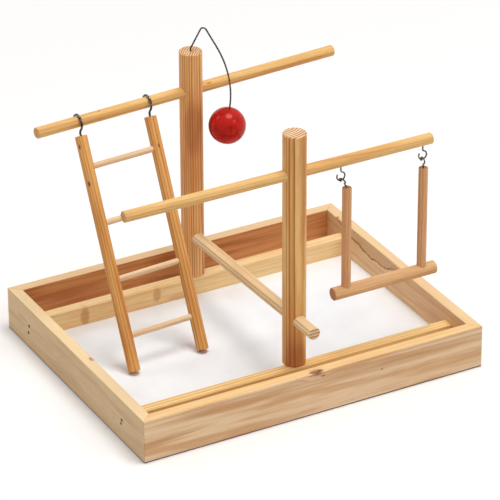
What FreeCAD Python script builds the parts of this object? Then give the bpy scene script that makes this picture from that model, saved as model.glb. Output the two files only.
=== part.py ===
"""Play stand for a small parrot: a tray with two posts, three perches, a ladder, a swing and a ball toy.

Millimetres, +Z up. The origin is the middle of the tray's underside, +X is the tray's right end
and -Y is its front.
"""
import FreeCAD, Part
import math
import os

from FreeCAD import Placement, Rotation, Vector

# Clearances
GLUE_GAP = 0.05          # round a glued dowel, a nail or a screw, all round
RUNNING_GAP = 0.05       # round a wire that turns in its hole
SEAT_GAP = 0.3           # between a moving piece and what it rests on
MITRE_GAP = 0.2          # across each mitred corner

# Tray
TRAY_WIDTH = 400.0
TRAY_DEPTH = 317.5
TRAY_HEIGHT = 48.8
BOARD_THICKNESS = 12.5
BOARD_EDGE_ROUND = 0.8
PANEL_THICKNESS = 3.0
PANEL_UNDERSIDE = 9.0    # height of the floor panel's underside
GROOVE_DEPTH = 5.0
GROOVE_PLAY = 0.2        # above the panel in its groove
PANEL_EDGE_PLAY = 0.4    # between the panel's edge and the bottom of the groove

# Wane: a shallow scoop off the inner face of the right board, cut by a very large cylinder
WANE_LENGTH = 144.0      # along the board's top edge
WANE_DEPTH = 1.6         # into the top edge
WANE_DROP = 15.0         # down the inner face
WANE_MIDDLE_Y = 50.0

# Cross rails, which stand on the floor panel and carry the posts
RAIL_WIDTH = 13.0
RAIL_HEIGHT = 21.5
RAIL_EDGE_ROUND = 0.8
RAIL_END_PLAY = 0.1
REAR_RAIL_Y = 111.6
FRONT_RAIL_Y = -111.6

# Nails through the side boards into the rails, two in each rail end
NAIL_RADIUS = 0.7
NAIL_LENGTH = 30.0
NAIL_HEAD_RADIUS = 1.2
NAIL_HEAD_HEIGHT = 0.9
NAIL_HEAD_SINK = 0.8
NAIL_EDGE = 3.0          # from the rail's inner face to the middle of its two nails
NAIL_STAGGER_Y = 2.0     # the upper nail is this much further forward
REAR_NAIL_PITCH = 9.0    # between the heights of one end's two nails
FRONT_NAIL_PITCH = 5.0

# V-nails across the mitres
V_NAIL_LEG = 5.0
V_NAIL_THICKNESS = 0.6
V_NAIL_HEIGHT = 7.0
V_NAIL_SINK = 0.5
V_NAIL_OPENING = 60.0    # degrees between the legs

# Posts
POST_RADIUS = 12.4
POST_LENGTH = 266.5
REAR_POST_X = 2.3
REAR_POST_Y = 116.0
FRONT_POST_X = 3.7
FRONT_POST_Y = -104.3
POST_END_CHAMFER = 0.8

# Screws from below into the posts
SCREW_RADIUS = 2.0
SCREW_HEAD_RADIUS = 4.0
SCREW_HEAD_HEIGHT = 2.2
SCREW_LENGTH = 44.0

# Perches
PERCH_RADIUS = 6.0
PERCH_END_CHAMFER = 0.6
PERCH_DROP = 45.7        # from the posts' tops to the axis of the two long perches
FRONT_PERCH_LEFT = 194.5  # from the post's axis to the perch's ends
FRONT_PERCH_RIGHT = 161.5
REAR_PERCH_LEFT = 188.0
REAR_PERCH_RIGHT = 179.0
REAR_PERCH_YAW = 3.7     # degrees: the rear post's hole is drilled slightly askew
LOW_PERCH_RADIUS = 6.8
LOW_PERCH_FRONT = 42.6   # from the front post's axis to the low perch's free end
LOW_PERCH_END_RISE = 54.6  # from the posts' feet to the axis at the free end
LOW_PERCH_REAR_RISE = 47.4  # and at the rear post's axis
LOW_PERCH_SEAT = 18.0    # depth of the blind hole in the rear post

# Ladder, which hangs on the rear perch
LADDER_LEAN = 26.5       # degrees from upright, with its feet on the floor panel
LADDER_RAIL_RADIUS = 6.5
LADDER_RAIL_CHAMFER = 0.5
LADDER_LEFT_X = -138.5   # rails' hooks, measured along the rear perch from its post
LADDER_RIGHT_X = -54.4
RUNG_RADIUS = 3.25
RUNG_COUNT = 4
RUNG_FIRST = 37.0        # from the rails' feet to the lowest rung
RUNG_LAST = 33.7         # from the highest rung to the rails' tops
RUNG_SEAT = 8.0          # depth of a rung's blind hole
LADDER_HOOK_WIRE = 1.2
LADDER_HOOK_BEND = 8.6   # the curl's radius at the wire's centre
LADDER_HOOK_NECK = 5.0
LADDER_HOOK_REACH = 14.2  # from the rail's top to the middle of the curl
LADDER_HOOK_THREAD = 12.0
LADDER_HOOK_END = 195.0  # degrees round the curl to the tip

# Swing, which hangs from the front perch
SWING_PERCH_RADIUS = 7.0
SWING_UPRIGHT_RADIUS = 5.0
SWING_UPRIGHT_LENGTH = 121.0
SWING_UPRIGHT_CHAMFER = 0.5
SWING_UPRIGHT_SEAT = 7.0
SWING_LEFT_X = 65.4
SWING_SPACING = 91.2     # between the two uprights
SWING_OVERHANG = 16.0    # of the swing's perch past each upright
HANGER_LEFT_X = 58.0
HANGER_RIGHT_X = 155.3
SWING_WIRE = 0.8
SWING_NECK = 2.0
SWING_THREAD = 7.0
HANGER_BEND = 4.7
HANGER_REACH = 11.2      # from the perch's underside to the middle of the curl
HANGER_END = 215.0
SWING_HOOK_BEND = 3.6
SWING_HOOK_RISE = 12.0   # from the upright's top up to the crown of the curl
SWING_HOOK_END = 215.0
LEFT_HOOK_TURN = -72.0   # degrees that the swing's hooks are turned about their own screws
RIGHT_HOOK_TURN = -90.0

# Ball toy on the rear post
TOY_WIRE = 0.9
TOY_SEAT = 20.0          # depth of the wire in the post
TOY_DIRECTION = -45.0    # degrees from +X
TOY_STUB = 2.0           # upright length above the post
TOY_FOOT_BEND = 3.0
TOY_RISE_ANGLE = 64.5    # degrees above level
TOY_RISE = 25.5
TOY_TOP_BEND = 3.5
TOY_FALL_ANGLE = 58.5    # degrees below level
TOY_FALL = 21.2
TOY_DROOP_BEND = 103.5
TOY_HANG_LEAN = 7.6      # degrees that the wire's last stretch leans back towards the post
TOY_HANG = 23.3          # from the droop's end to the ball's centre
TOY_TAIL_BEND = 1.8      # the wire's end is bent over under the ball
TOY_TAIL = 1.6
BALL_RADIUS = 20.0
BALL_RECESS_RADIUS = 4.5  # recess in the ball's underside for the bent end
BALL_RECESS_DEPTH = 4.0

# Heights and places that follow from the sizes above
PANEL_TOP = PANEL_UNDERSIDE + PANEL_THICKNESS
POST_FOOT = PANEL_TOP + RAIL_HEIGHT
POST_TOP = POST_FOOT + POST_LENGTH
PERCH_Z = POST_TOP - PERCH_DROP
INNER_HALF_WIDTH = TRAY_WIDTH / 2 - BOARD_THICKNESS
INNER_HALF_DEPTH = TRAY_DEPTH / 2 - BOARD_THICKNESS
REAR_POST = Vector(REAR_POST_X, REAR_POST_Y, 0)
FRONT_POST = Vector(FRONT_POST_X, FRONT_POST_Y, 0)
UP = Vector(0, 0, 1)


def direction(degrees):
    """Level unit vector at an angle from +X."""
    return Vector(math.cos(math.radians(degrees)), math.sin(math.radians(degrees)), 0)


def turned(shape, axis, degrees):
    """Copy of a shape turned about a line through the origin."""
    copy = shape.copy()
    copy.rotate(Vector(0, 0, 0), axis, degrees)
    return copy


def moved(shape, offset):
    """Copy of a shape moved by a vector."""
    copy = shape.copy()
    copy.translate(offset)
    return copy


def dowel(radius, length, chamfer):
    """Upright dowel from the origin with both end edges broken."""
    rod = Part.makeCylinder(radius, length)
    rims = [edge for edge in rod.Edges if isinstance(edge.Curve, Part.Circle)]
    return rod.makeChamfer(chamfer, rims)


def rod_between(start, end, radius):
    """Plain round rod from one point to another."""
    return Part.makeCylinder(radius, (end - start).Length, start, end - start)


def bar(length, width, height, edge_round):
    """Bar along X, centred on X and Y, standing on Z = 0, with its long edges rounded."""
    block = Part.makeBox(length, width, height, Vector(-length / 2, -width / 2, 0))
    long_edges = [edge for edge in block.Edges if abs(edge.Length - length) < 1e-6]
    return block.makeFillet(edge_round, long_edges)


def swept(path_edges, radius, start, start_direction):
    """Round wire along a path that starts at a point in a direction."""
    profile = Part.Wire(Part.Circle(start, start_direction, radius).toShape())
    return Part.Wire(path_edges).makePipeShell([profile], True, False)


def arc(centre, radius, first, last):
    """Arc in the XZ plane, by its angles in degrees from +X towards +Z."""
    points = []
    for degrees in (first, (first + last) / 2, last):
        turn = math.radians(degrees)
        points.append(centre + Vector(math.cos(turn), 0, math.sin(turn)) * radius)
    return Part.Arc(*points).toShape()


def screw_hook(wire, bend, neck, reach, thread, end_angle):
    """Open screw hook in the XZ plane: it stands on the origin along +Z and curls over +X first.

    The curl's middle is on the screw's axis at the height reach. A neck arc joins the screw to
    the curl, and both arcs are tangent where they meet.
    """
    neck_height = reach - math.sqrt(bend ** 2 + 2 * neck * bend)
    curl_start = math.degrees(math.atan2(neck_height - reach, neck))
    start = Vector(0, 0, -thread)
    edges = [
        Part.LineSegment(start, Vector(0, 0, neck_height)).toShape(),
        arc(Vector(neck, 0, neck_height), neck, 180, 180 + curl_start),
        arc(Vector(0, 0, reach), bend, curl_start, end_angle),
    ]
    return swept(edges, wire, start, UP)


# Tray ------------------------------------------------------------------------------------------

def nail():
    """Wire nail along +X whose head's outer face is at the origin."""
    shank = rod_between(Vector(0, 0, 0), Vector(NAIL_LENGTH, 0, 0), NAIL_RADIUS)
    head = rod_between(Vector(0, 0, 0), Vector(NAIL_HEAD_HEIGHT, 0, 0), NAIL_HEAD_RADIUS)
    return shank.fuse(head).removeSplitter()


def nail_bore():
    """Room for a nail and for its sunk head, with its mouth on the board's face."""
    shank = rod_between(Vector(0, 0, 0), Vector(NAIL_HEAD_SINK + NAIL_LENGTH + SEAT_GAP, 0, 0),
                        NAIL_RADIUS + GLUE_GAP)
    head = rod_between(Vector(-BOARD_EDGE_ROUND, 0, 0),
                       Vector(NAIL_HEAD_SINK + NAIL_HEAD_HEIGHT + GLUE_GAP, 0, 0),
                       NAIL_HEAD_RADIUS + GLUE_GAP)
    return shank.fuse(head)


def at_nails(shape, sink):
    """Copies of a shape at every nail, pointing inwards, sunk below the boards' faces."""
    copies = []
    middle_z = PANEL_TOP + RAIL_HEIGHT / 2
    from_middle = RAIL_WIDTH / 2 - NAIL_EDGE
    for side in (-1, 1):
        inward = turned(shape, UP, 0 if side < 0 else 180)
        for nails_y, pitch in ((REAR_RAIL_Y - from_middle, REAR_NAIL_PITCH),
                               (FRONT_RAIL_Y + from_middle, FRONT_NAIL_PITCH)):
            for step in (-0.5, 0.5):
                place = Vector(side * (TRAY_WIDTH / 2 - sink), nails_y - step * NAIL_STAGGER_Y,
                               middle_z + step * pitch)
                copies.append(moved(inward, place))
    return copies


def v_nail(gap):
    """V-nail with its fold on the mitre line, at the origin; gap widens it all round."""
    half = V_NAIL_THICKNESS / 2 + gap
    leg = Part.makeBox(V_NAIL_LEG + 2 * gap, 2 * half, V_NAIL_HEIGHT + gap, Vector(-gap, -half, 0))
    return turned(leg, UP, V_NAIL_OPENING / 2).fuse(turned(leg, UP, -V_NAIL_OPENING / 2)).removeSplitter()


def at_corners(shape):
    """Copies of a V-nail shape across the four mitres, its fold towards the tray's middle."""
    copies = []
    reach_x = (TRAY_WIDTH - BOARD_THICKNESS) / 2
    reach_y = (TRAY_DEPTH - BOARD_THICKNESS) / 2
    for x, y in ((1, 1), (-1, 1), (-1, -1), (1, -1)):
        along_mitre = math.degrees(math.atan2(y, x))
        fold = moved(turned(shape, UP, along_mitre), Vector(x * reach_x, y * reach_y, 0))
        copies.append(moved(fold, direction(along_mitre) * (-V_NAIL_LEG / 2)))
    return copies


def tray_board(length, turn, outer_reach):
    """Mitred board: modelled along X with its outer face towards -Y, then turned into place."""
    inset = MITRE_GAP / math.sqrt(2)
    half = length / 2 - inset
    plan = [Vector(-half, 0, 0), Vector(half, 0, 0),
            Vector(half - BOARD_THICKNESS, BOARD_THICKNESS, 0),
            Vector(-half + BOARD_THICKNESS, BOARD_THICKNESS, 0)]
    outline = Part.Face(Part.makePolygon(plan + plan[:1])).extrude(UP * TRAY_HEIGHT)
    plank = moved(bar(length, BOARD_THICKNESS, TRAY_HEIGHT, BOARD_EDGE_ROUND),
                  Vector(0, BOARD_THICKNESS / 2, 0))
    groove = Part.makeBox(length, GROOVE_DEPTH, PANEL_THICKNESS + GROOVE_PLAY,
                          Vector(-length / 2, BOARD_THICKNESS - GROOVE_DEPTH, PANEL_UNDERSIDE))
    board = plank.common(outline).cut(groove)
    return turned(moved(board, Vector(0, -outer_reach, 0)), UP, turn)


def wane_cutter():
    """Large cylinder that takes the inner top edge off the right board."""
    radius = ((WANE_LENGTH / 2) ** 2 + WANE_DEPTH ** 2) / (2 * WANE_DEPTH)
    tilt = math.asin(WANE_DEPTH / WANE_DROP)
    along = Vector(math.sin(tilt), 0, math.cos(tilt))
    outward = Vector(-math.cos(tilt), 0, math.sin(tilt))
    edge = Vector(INNER_HALF_WIDTH, WANE_MIDDLE_Y, TRAY_HEIGHT)
    half_height = TRAY_HEIGHT
    base = edge + outward * (radius - WANE_DEPTH) - along * half_height
    return Part.makeCylinder(radius, 2 * half_height, base, along)


def base_panel():
    """Hardboard floor with its edges in the boards' grooves."""
    spread = 2 * (GROOVE_DEPTH - PANEL_EDGE_PLAY)
    width = 2 * INNER_HALF_WIDTH + spread
    depth = 2 * INNER_HALF_DEPTH + spread
    return Part.makeBox(width, depth, PANEL_THICKNESS, Vector(-width / 2, -depth / 2, PANEL_UNDERSIDE))


def cross_rail(middle_y):
    """Rail between the left and right boards, standing on the floor panel."""
    rail = bar(2 * (INNER_HALF_WIDTH - RAIL_END_PLAY), RAIL_WIDTH, RAIL_HEIGHT, RAIL_EDGE_ROUND)
    return moved(rail, Vector(0, middle_y, PANEL_TOP))


# Stand -----------------------------------------------------------------------------------------

def post_screw(gap):
    """Countersunk screw along +Z from the panel's underside; gap widens it all round."""
    head = Part.makeCone(SCREW_HEAD_RADIUS + gap, SCREW_RADIUS + gap, SCREW_HEAD_HEIGHT)
    shank = Part.makeCylinder(SCREW_RADIUS + gap, SCREW_LENGTH + gap)
    return moved(head.fuse(shank), UP * PANEL_UNDERSIDE)


def post_screws(gap):
    """Both post screws, or the room for them, between the middles of the rails and the posts' axes."""
    return [moved(post_screw(gap), Vector(place.x, (rail_y + place.y) / 2, 0))
            for rail_y, place in ((REAR_RAIL_Y, REAR_POST), (FRONT_RAIL_Y, FRONT_POST))]


def post(place):
    """Post without its holes."""
    return moved(dowel(POST_RADIUS, POST_LENGTH, POST_END_CHAMFER), place + UP * POST_FOOT)


def long_perch(left_reach, right_reach):
    """Perch along X whose post's axis is at the origin."""
    rod = turned(dowel(PERCH_RADIUS, left_reach + right_reach, PERCH_END_CHAMFER), Vector(0, 1, 0), 90)
    return moved(rod, Vector(-left_reach, 0, 0))


def perch_bore(length):
    """Room for a perch along X, on the origin."""
    return rod_between(Vector(-length / 2, 0, 0), Vector(length / 2, 0, 0), PERCH_RADIUS + GLUE_GAP)


def on_rear_perch(shape):
    """Move a shape from the rear perch's own frame, with the perch along X, into place."""
    return moved(turned(shape, UP, REAR_PERCH_YAW), REAR_POST + UP * PERCH_Z)


def low_perch_run():
    """Free end of the low perch and the vector from there to its seated end."""
    free_end = FRONT_POST + Vector(0, -LOW_PERCH_FRONT, POST_FOOT + LOW_PERCH_END_RISE)
    to_axis = REAR_POST + UP * (POST_FOOT + LOW_PERCH_REAR_RISE) - free_end
    length = to_axis.Length - POST_RADIUS + LOW_PERCH_SEAT
    return free_end, to_axis.normalize() * length


def low_perch():
    """Perch from in front of the front post to the blind hole in the rear post, falling to the rear."""
    free_end, run = low_perch_run()
    rod = dowel(LOW_PERCH_RADIUS, run.Length, PERCH_END_CHAMFER)
    rod.Placement = Placement(free_end, Rotation(UP, run))
    return rod


def low_perch_bore():
    """Room for the low perch in both posts."""
    free_end, run = low_perch_run()
    return Part.makeCylinder(LOW_PERCH_RADIUS + GLUE_GAP, run.Length + SEAT_GAP, free_end, run)


# Ladder ----------------------------------------------------------------------------------------

def ladder_skew():
    """Angle in degrees at which the rails lean sideways on the rungs.

    The rungs follow the askew perch, but the rails stand square to the tray's front.
    """
    lean = math.radians(LADDER_LEAN)
    return math.degrees(math.atan(math.tan(math.radians(REAR_PERCH_YAW)) * math.sin(lean)))


def ladder_reach():
    """From the rails' feet to the perch's axis, when the feet's lower edges touch the floor panel."""
    upright_share = math.cos(math.radians(LADDER_LEAN)) * math.cos(math.radians(ladder_skew()))
    foot_radius = LADDER_RAIL_RADIUS - LADDER_RAIL_CHAMFER
    edge_drop = foot_radius * math.sqrt(1 - upright_share ** 2)
    return (PERCH_Z - PANEL_TOP - SEAT_GAP - edge_drop) / upright_share


def hook_height():
    """From the rails' tops to the perch's axis, which the hooks' curls hang from by their crowns."""
    slack = LADDER_HOOK_BEND - LADDER_HOOK_WIRE - PERCH_RADIUS - SEAT_GAP
    return LADDER_HOOK_REACH + slack


def rail_length():
    """Length of the side rails."""
    return ladder_reach() - hook_height()


def leaned(shape):
    """Move a shape from the hanging ladder's frame, with the perch along X at the origin, into place."""
    return on_rear_perch(turned(shape, Vector(1, 0, 0), -LADDER_LEAN))


def under_hook(shape, x):
    """Move a shape from an upright rail's frame, with its foot at the origin, to its place on the perch."""
    hung = turned(moved(shape, UP * -ladder_reach()), Vector(0, 1, 0), ladder_skew())
    return leaned(moved(hung, Vector(x, 0, 0)))


def rung_rod(height, radius, end_gap):
    """Rod along a rung, at a height on the rails."""
    skew = math.radians(ladder_skew())
    down = Vector(-math.sin(skew), 0, -math.cos(skew)) * (ladder_reach() - height)
    into_rail = Vector(RUNG_SEAT - LADDER_RAIL_RADIUS + end_gap, 0, 0)
    return leaned(rod_between(Vector(LADDER_LEFT_X, 0, 0) + down - into_rail,
                              Vector(LADDER_RIGHT_X, 0, 0) + down + into_rail, radius))


def rung_heights():
    """Distances of the rungs from the rails' feet."""
    pitch = (rail_length() - RUNG_FIRST - RUNG_LAST) / (RUNG_COUNT - 1)
    return [RUNG_FIRST + step * pitch for step in range(RUNG_COUNT)]


def ladder_rail(x):
    """Side rail with its blind rung holes and its hook's pilot hole."""
    top = UP * rail_length()
    pilot = rod_between(top - UP * (LADDER_HOOK_THREAD + SEAT_GAP), top, LADDER_HOOK_WIRE + GLUE_GAP)
    rail = under_hook(dowel(LADDER_RAIL_RADIUS, rail_length(), LADDER_RAIL_CHAMFER).cut(pilot), x)
    for height in rung_heights():
        rail = rail.cut(rung_rod(height, RUNG_RADIUS + GLUE_GAP, SEAT_GAP))
    return rail


def ladder_hook(x):
    """Screw hook on a rail's top that curls forwards over the perch."""
    hook = screw_hook(LADDER_HOOK_WIRE, LADDER_HOOK_BEND, LADDER_HOOK_NECK, LADDER_HOOK_REACH,
                      LADDER_HOOK_THREAD, LADDER_HOOK_END)
    return under_hook(moved(turned(hook, UP, -90), UP * rail_length()), x)


# Swing -----------------------------------------------------------------------------------------

SWING_LINK_Z = PERCH_Z - PERCH_RADIUS - HANGER_REACH - HANGER_BEND
SWING_TOP_Z = SWING_LINK_Z + 2 * SWING_WIRE + SEAT_GAP - SWING_HOOK_RISE
SWING_SIDES = {
    "left": (HANGER_LEFT_X, SWING_LEFT_X, LEFT_HOOK_TURN),
    "right": (HANGER_RIGHT_X, SWING_LEFT_X + SWING_SPACING, RIGHT_HOOK_TURN),
}


def swing_point(x, z):
    """Point in the plane of the front post and perch."""
    return Vector(x, FRONT_POST_Y, z)


def hanger(hanger_x):
    """Screw hook in the front perch's underside."""
    hook = screw_hook(SWING_WIRE, HANGER_BEND, SWING_NECK, HANGER_REACH, SWING_THREAD, HANGER_END)
    upside_down = turned(turned(hook, UP, 180), Vector(0, 1, 0), 180)
    return moved(upside_down, swing_point(hanger_x, PERCH_Z - PERCH_RADIUS))


def hanger_bore(hanger_x):
    """Pilot hole of a hanger in the front perch."""
    mouth = swing_point(hanger_x, PERCH_Z - PERCH_RADIUS)
    return rod_between(mouth - UP * SWING_WIRE, mouth + UP * (SWING_THREAD + SEAT_GAP),
                       SWING_WIRE + GLUE_GAP)


def hook_lean(hanger_x, upright_x):
    """Angle at which an upright's hook leans so that its crown comes over the hanger's curl."""
    return math.degrees(math.atan2(hanger_x - upright_x, SWING_HOOK_RISE))


def swing_hook(hanger_x, upright_x, hook_turn):
    """Screw hook in an upright's top, linked into the hanger."""
    lean = hook_lean(hanger_x, upright_x)
    reach = SWING_HOOK_RISE / math.cos(math.radians(lean)) - SWING_HOOK_BEND
    hook = screw_hook(SWING_WIRE, SWING_HOOK_BEND, SWING_NECK, reach, SWING_THREAD, SWING_HOOK_END)
    leaning = turned(turned(hook, UP, hook_turn), Vector(0, 1, 0), lean)
    return moved(leaning, swing_point(upright_x, SWING_TOP_Z))


def swing_upright(hanger_x, upright_x):
    """Upright with its hook's pilot hole."""
    foot = swing_point(upright_x, SWING_TOP_Z - SWING_UPRIGHT_LENGTH)
    rod = moved(dowel(SWING_UPRIGHT_RADIUS, SWING_UPRIGHT_LENGTH, SWING_UPRIGHT_CHAMFER), foot)
    pilot = rod_between(Vector(0, 0, -SWING_THREAD - SEAT_GAP), UP * SWING_WIRE, SWING_WIRE + GLUE_GAP)
    leaning = turned(pilot, Vector(0, 1, 0), hook_lean(hanger_x, upright_x))
    return rod.cut(moved(leaning, swing_point(upright_x, SWING_TOP_Z)))


def swing_perch():
    """Swing's perch with a blind socket for each upright."""
    socket_floor = SWING_TOP_Z - SWING_UPRIGHT_LENGTH
    axis_z = socket_floor + SWING_UPRIGHT_SEAT - SWING_PERCH_RADIUS
    length = SWING_SPACING + 2 * SWING_OVERHANG
    rod = turned(dowel(SWING_PERCH_RADIUS, length, PERCH_END_CHAMFER), Vector(0, 1, 0), 90)
    rod = moved(rod, swing_point(SWING_LEFT_X - SWING_OVERHANG, axis_z))
    for _, upright_x, _ in SWING_SIDES.values():
        socket = Part.makeCylinder(SWING_UPRIGHT_RADIUS + GLUE_GAP, SWING_UPRIGHT_LENGTH,
                                   swing_point(upright_x, socket_floor))
        rod = rod.cut(socket)
    return rod


# Ball toy --------------------------------------------------------------------------------------

def sloping(degrees):
    """Unit vector in the XZ plane at an angle above +X."""
    return Vector(math.cos(math.radians(degrees)), 0, math.sin(math.radians(degrees)))


def toy_path():
    """Wire's centre line in the XZ plane, with the post's top at the origin, and the ball's place.

    Returns the path's edges, its start, the ball's centre and the wire's way through the ball.
    """
    start = UP * -TOY_SEAT
    stub_top = UP * TOY_STUB
    foot_centre = stub_top + Vector(TOY_FOOT_BEND, 0, 0)
    rise_start = foot_centre + sloping(90 + TOY_RISE_ANGLE) * TOY_FOOT_BEND
    rise_end = rise_start + sloping(TOY_RISE_ANGLE) * TOY_RISE
    top_centre = rise_end + sloping(TOY_RISE_ANGLE - 90) * TOY_TOP_BEND
    fall_start = top_centre + sloping(90 - TOY_FALL_ANGLE) * TOY_TOP_BEND
    fall_end = fall_start + sloping(-TOY_FALL_ANGLE) * TOY_FALL
    droop_centre = fall_end + sloping(-90 - TOY_FALL_ANGLE) * TOY_DROOP_BEND
    hang_start = droop_centre + sloping(-TOY_HANG_LEAN) * TOY_DROOP_BEND
    hang_way = sloping(-90 - TOY_HANG_LEAN)
    ball_centre = hang_start + hang_way * TOY_HANG
    recess_roof = ball_centre + hang_way * (BALL_RADIUS - BALL_RECESS_DEPTH)
    tail_centre = recess_roof + sloping(-TOY_HANG_LEAN) * TOY_TAIL_BEND
    tail_start = tail_centre + hang_way * TOY_TAIL_BEND
    edges = [
        Part.LineSegment(start, stub_top).toShape(),
        arc(foot_centre, TOY_FOOT_BEND, 180, 90 + TOY_RISE_ANGLE),
        Part.LineSegment(rise_start, rise_end).toShape(),
        arc(top_centre, TOY_TOP_BEND, 90 + TOY_RISE_ANGLE, 90 - TOY_FALL_ANGLE),
        Part.LineSegment(fall_start, fall_end).toShape(),
        arc(droop_centre, TOY_DROOP_BEND, 90 - TOY_FALL_ANGLE, -TOY_HANG_LEAN),
        Part.LineSegment(hang_start, recess_roof).toShape(),
        arc(tail_centre, TOY_TAIL_BEND, 180 - TOY_HANG_LEAN, 270 - TOY_HANG_LEAN),
        Part.LineSegment(tail_start, tail_start + sloping(-TOY_HANG_LEAN) * TOY_TAIL).toShape(),
    ]
    return edges, start, ball_centre, hang_way


def on_post_top(shape):
    """Move a toy shape from the post top's frame into place."""
    return moved(turned(shape, UP, TOY_DIRECTION), REAR_POST + UP * POST_TOP)


def toy_wire():
    """Spring wire from inside the rear post through the ball to its bent-over end."""
    edges, start, _, _ = toy_path()
    return on_post_top(swept(edges, TOY_WIRE, start, UP))


def toy_bore():
    """Hole in the rear post's top for the wire."""
    return on_post_top(rod_between(Vector(0, 0, -TOY_SEAT - SEAT_GAP), UP, TOY_WIRE + RUNNING_GAP))


def toy_ball():
    """Ball with a hole right through for the wire and a recess below for its bent-over end."""
    _, _, centre, way = toy_path()
    top = centre - way * BALL_RADIUS
    bottom = centre + way * BALL_RADIUS
    bore = rod_between(bottom, top, TOY_WIRE + RUNNING_GAP)
    recess = rod_between(bottom, bottom - way * BALL_RECESS_DEPTH, BALL_RECESS_RADIUS)
    return on_post_top(Part.makeSphere(BALL_RADIUS, centre).cut(bore).cut(recess))


# Assembly --------------------------------------------------------------------------------------

def tray_nodes():
    """Boards, floor, rails and the tray's fasteners."""
    nail_room = Part.makeCompound(at_nails(nail_bore(), 0))
    v_nail_room = Part.makeCompound(at_corners(moved(v_nail(GLUE_GAP), UP * V_NAIL_SINK)
                                               .fuse(v_nail(GLUE_GAP))))
    screw_room = Part.makeCompound(post_screws(GLUE_GAP))
    boards = {
        "front_board": tray_board(TRAY_WIDTH, 0, TRAY_DEPTH / 2),
        "back_board": tray_board(TRAY_WIDTH, 180, TRAY_DEPTH / 2),
        "left_board": tray_board(TRAY_DEPTH, -90, TRAY_WIDTH / 2),
        "right_board": tray_board(TRAY_DEPTH, 90, TRAY_WIDTH / 2).cut(wane_cutter()),
    }
    nodes = {name: board.cut(nail_room).cut(v_nail_room) for name, board in boards.items()}
    nodes["base_panel"] = base_panel().cut(screw_room)
    nodes["front_cross_rail"] = cross_rail(FRONT_RAIL_Y).cut(nail_room).cut(screw_room)
    nodes["rear_cross_rail"] = cross_rail(REAR_RAIL_Y).cut(nail_room).cut(screw_room)
    nodes["cross_rail_nails"] = Part.makeCompound(at_nails(nail(), NAIL_HEAD_SINK))
    nodes["corner_v_nails"] = Part.makeCompound(at_corners(moved(v_nail(0), UP * V_NAIL_SINK)))
    return nodes


def stand_nodes():
    """Posts, perches, post screws and the swing's hangers."""
    screw_room = Part.makeCompound(post_screws(GLUE_GAP))
    front_bore = moved(perch_bore(4 * POST_RADIUS), FRONT_POST + UP * PERCH_Z)
    rear_bore = on_rear_perch(perch_bore(4 * POST_RADIUS))
    front_perch = moved(long_perch(FRONT_PERCH_LEFT, FRONT_PERCH_RIGHT), FRONT_POST + UP * PERCH_Z)
    for hanger_x, _, _ in SWING_SIDES.values():
        front_perch = front_perch.cut(hanger_bore(hanger_x))
    rear_post = post(REAR_POST).cut(rear_bore).cut(low_perch_bore()).cut(screw_room).cut(toy_bore())
    nodes = {
        "front_post": post(FRONT_POST).cut(front_bore).cut(low_perch_bore()).cut(screw_room),
        "rear_post": rear_post,
        "post_screws": Part.makeCompound(post_screws(0)),
        "front_perch": front_perch,
        "rear_perch": on_rear_perch(long_perch(REAR_PERCH_LEFT, REAR_PERCH_RIGHT)),
        "low_perch": low_perch(),
    }
    for side, (hanger_x, _, _) in SWING_SIDES.items():
        nodes[f"swing_{side}_hanger"] = hanger(hanger_x)
    return nodes


def ladder_nodes():
    """Ladder that hangs on the rear perch with its feet on the floor panel."""
    nodes = {}
    for side, x in (("left", LADDER_LEFT_X), ("right", LADDER_RIGHT_X)):
        nodes[f"ladder_{side}_rail"] = ladder_rail(x)
        nodes[f"ladder_{side}_hook"] = ladder_hook(x)
    for number, height in enumerate(rung_heights(), start=1):
        nodes[f"ladder_rung_{number}"] = rung_rod(height, RUNG_RADIUS, 0)
    return nodes


def swing_nodes():
    """Swing that hangs from the front perch."""
    nodes = {"swing_perch": swing_perch()}
    for side, (hanger_x, upright_x, hook_turn) in SWING_SIDES.items():
        nodes[f"swing_{side}_upright"] = swing_upright(hanger_x, upright_x)
        nodes[f"swing_{side}_hook"] = swing_hook(hanger_x, upright_x, hook_turn)
    return nodes


def toy_nodes():
    """Ball toy on the rear post."""
    return {"toy_wire": toy_wire(), "toy_ball": toy_ball()}


os.makedirs("parts", exist_ok=True)
for group in (tray_nodes(), stand_nodes(), ladder_nodes(), swing_nodes(), toy_nodes()):
    for name, shape in group.items():
        shape.exportStep(f"parts/{name}.step")
        print(f"{name:20s} solids {len(shape.Solids)} valid {shape.isValid()} volume {shape.Volume:10.1f}")
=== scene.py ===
"""A table-top play stand in pine: a tray with a white floor, two posts with perches, a hooked ladder,
a swing in open screw hooks, and a red ball on a spring wire."""
import logging
import math
from dataclasses import dataclass, replace
from enum import Enum

import bpy
import numpy as np
from mathutils import Euler, Matrix, Vector

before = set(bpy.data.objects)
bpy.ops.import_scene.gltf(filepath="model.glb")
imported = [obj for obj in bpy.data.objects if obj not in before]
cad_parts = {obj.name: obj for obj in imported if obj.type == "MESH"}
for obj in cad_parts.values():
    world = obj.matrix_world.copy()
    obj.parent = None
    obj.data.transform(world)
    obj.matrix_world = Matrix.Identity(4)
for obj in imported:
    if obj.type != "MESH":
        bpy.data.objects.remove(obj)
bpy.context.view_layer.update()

PHOTO_PIXELS = 500
MM = 0.001
log = logging.getLogger("play_stand")


# ---------------------------------------------------------------- node helpers

def linear(colour: str) -> tuple[float, float, float, float]:
    """Turns an sRGB hex colour to linear light.

    Args:
        colour: six hex digits, such as "e0b070".

    Returns:
        Red, green, blue and an alpha of 1.
    """
    parts = [int(colour[i:i + 2], 16) / 255 for i in (0, 2, 4)]
    return (*[p / 12.92 if p <= 0.04045 else ((p + 0.055) / 1.055) ** 2.4 for p in parts], 1.0)


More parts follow.
